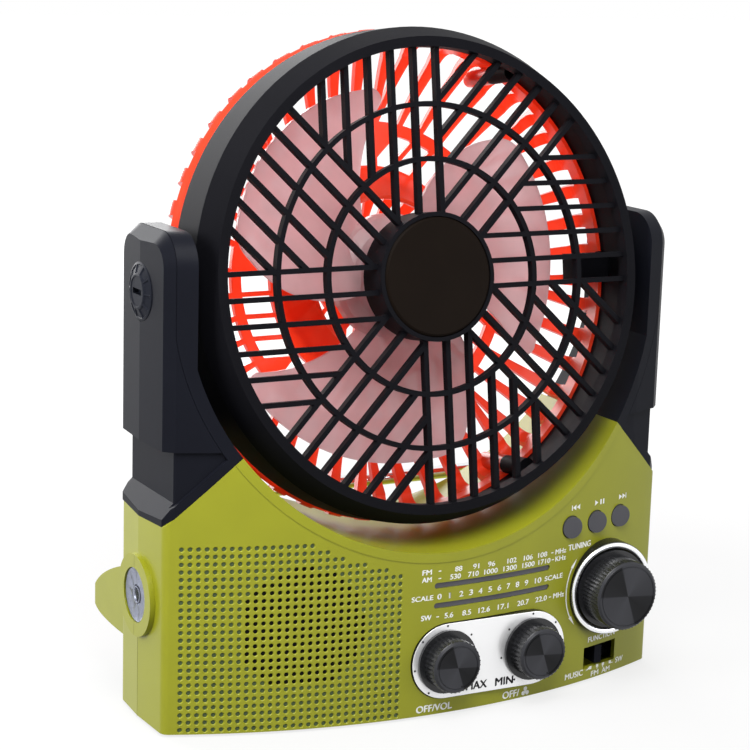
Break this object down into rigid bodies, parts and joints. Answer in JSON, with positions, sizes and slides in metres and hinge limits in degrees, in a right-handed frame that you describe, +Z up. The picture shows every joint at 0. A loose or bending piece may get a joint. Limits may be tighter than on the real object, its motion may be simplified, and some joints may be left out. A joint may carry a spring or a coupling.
{
  "type": "rechargeable radio fan",
  "caption": "Desk fan head tilting in a cradle between two arms on a radio body, with ribbed rear shell, speaker, tuning dial, knobs, side torch and stowed telescopic antenna.",
  "frame": {"origin": "on the ground, under the middle of the product's bounding box; the fan's tilt axis is 1.4 mm in front of it", "axes": "+X to the right of someone facing the controls, -Y out of the control front, +Z up"},
  "size_m": [0.2278, 0.1144, 0.2685],
  "materials": {
    "green_plastic": "satin",
    "dark_plastic": "satin",
    "black_plastic": "satin",
    "red_clear_plastic": "translucent",
    "blade_plastic": "translucent",
    "white_plastic": "gloss",
    "clear_plastic": "clear",
    "chrome": "polished",
    "steel": "satin",
    "circuit_board": "satin",
    "paper_cone": "matte",
    "rubber": "matte",
    "cell_wrap": "satin"
  },
  "bodies": {
    "radio_body": {"front_shell": "green_plastic", "rear_shell": "green_plastic", "battery_door": "green_plastic", "rubber_feet": "rubber", "body_screws": "steel", "speaker_frame": "steel", "speaker_cone": "paper_cone", "speaker_magnet": "steel", "main_board": "circuit_board", "volume_potentiometer": "steel", "fan_speed_potentiometer": "steel", "knob_plate": "white_plastic", "tuning_ring": "chrome", "tuning_capacitor": "clear_plastic", "dial_windows": "clear_plastic", "dial_rail": "dark_plastic", "button_board": "circuit_board", "function_switch": "steel", "torch_reflector": "chrome", "torch_lens": "clear_plastic", "torch_led": "white_plastic", "battery_cells": "cell_wrap", "power_board": "circuit_board", "usb_socket": "steel", "dc_socket": "black_plastic", "right_arm_base": "dark_plastic", "left_arm_base": "dark_plastic", "right_arm_cover": "dark_plastic", "left_arm_cover": "dark_plastic", "pivot_caps": "dark_plastic", "antenna_mount": "green_plastic", "antenna_clip": "green_plastic"},
    "fan_head": {"front_grille": "dark_plastic", "hub_cap": "black_plastic", "rear_grille": "red_clear_plastic", "head_screws": "steel", "pivot_trunnions": "dark_plastic", "pivot_screws": "steel", "fan_motor": "steel", "motor_cover": "dark_plastic"},
    "rotor": {"fan_blades": "blade_plastic", "motor_shaft": "steel"},
    "volume_control": {"volume_knob": "black_plastic", "volume_shaft": "steel"},
    "fan_speed_control": {"fan_speed_knob": "black_plastic", "fan_speed_shaft": "steel"},
    "tuning_control": {"tuning_knob": "black_plastic", "tuning_shaft": "white_plastic"},
    "pointer": {"dial_pointer": "dark_plastic"},
    "slider": {"function_slider": "dark_plastic"},
    "previous_key": {"previous_button": "dark_plastic"},
    "play_key": {"play_button": "dark_plastic"},
    "next_key": {"next_button": "dark_plastic"},
    "antenna_base": {"antenna_swivel": "chrome", "antenna_section_1": "chrome"},
    "antenna_middle": {"antenna_section_2": "chrome"},
    "antenna_tip": {"antenna_section_3": "chrome"}
  },
  "joints": [
    {"name": "head_tilt", "type": "hinge", "parent": "radio_body", "child": "fan_head", "pos_m": [0.0006, -0.0014, 0.1694], "axis": [-1, 0, 0], "range_deg": [-15, 45]},
    {"name": "fan_spin", "type": "hinge", "parent": "fan_head", "child": "rotor", "pos_m": [0.0006, -0.0014, 0.1694], "axis": [0, 0.9887, -0.1501], "continuous": true},
    {"name": "volume_turn", "type": "hinge", "parent": "radio_body", "child": "volume_control", "pos_m": [0.0001, -0.0464, 0.0226], "axis": [0, 1, 0], "range_deg": [0, 280]},
    {"name": "fan_speed_turn", "type": "hinge", "parent": "radio_body", "child": "fan_speed_control", "pos_m": [0.0398, -0.0464, 0.0226], "axis": [0, 1, 0], "range_deg": [0, 280]},
    {"name": "tuning_turn", "type": "hinge", "parent": "radio_body", "child": "tuning_control", "pos_m": [0.0813, -0.0414, 0.041], "axis": [0, 1, 0], "range_deg": [-180, 0]},
    {"name": "pointer_slide", "type": "slide", "parent": "radio_body", "child": "pointer", "axis": [1, 0, 0], "range_m": [-0.0487, 0]},
    {"name": "function_slide", "type": "slide", "parent": "radio_body", "child": "slider", "axis": [1, 0, 0], "range_m": [-0.0058, 0.0079]},
    {"name": "previous_press", "type": "slide", "parent": "radio_body", "child": "previous_key", "axis": [0, 1, 0], "range_m": [0, 0.001], "stiffness_N_per_m": 400, "springref_m": -0.0005},
    {"name": "play_press", "type": "slide", "parent": "radio_body", "child": "play_key", "axis": [0, 1, 0], "range_m": [0, 0.001], "stiffness_N_per_m": 400, "springref_m": -0.0005},
    {"name": "next_press", "type": "slide", "parent": "radio_body", "child": "next_key", "axis": [0, 1, 0], "range_m": [0, 0.001], "stiffness_N_per_m": 400, "springref_m": -0.0005},
    {"name": "antenna_swing", "type": "hinge", "parent": "radio_body", "child": "antenna_base", "pos_m": [0.0766, 0.0311, 0.077], "axis": [0, 0, -1], "range_deg": [0, 180]},
    {"name": "antenna_middle_slide", "type": "slide", "parent": "antenna_base", "child": "antenna_middle", "axis": [-1, 0, 0], "range_m": [0, 0.125]},
    {"name": "antenna_tip_slide", "type": "slide", "parent": "antenna_middle", "child": "antenna_tip", "axis": [-1, 0, 0], "range_m": [0, 0.125]}
  ],
  "couplings": [
    {"joint": "pointer_slide", "follows": "tuning_turn", "m_per_rad": 0.0155}
  ]
}
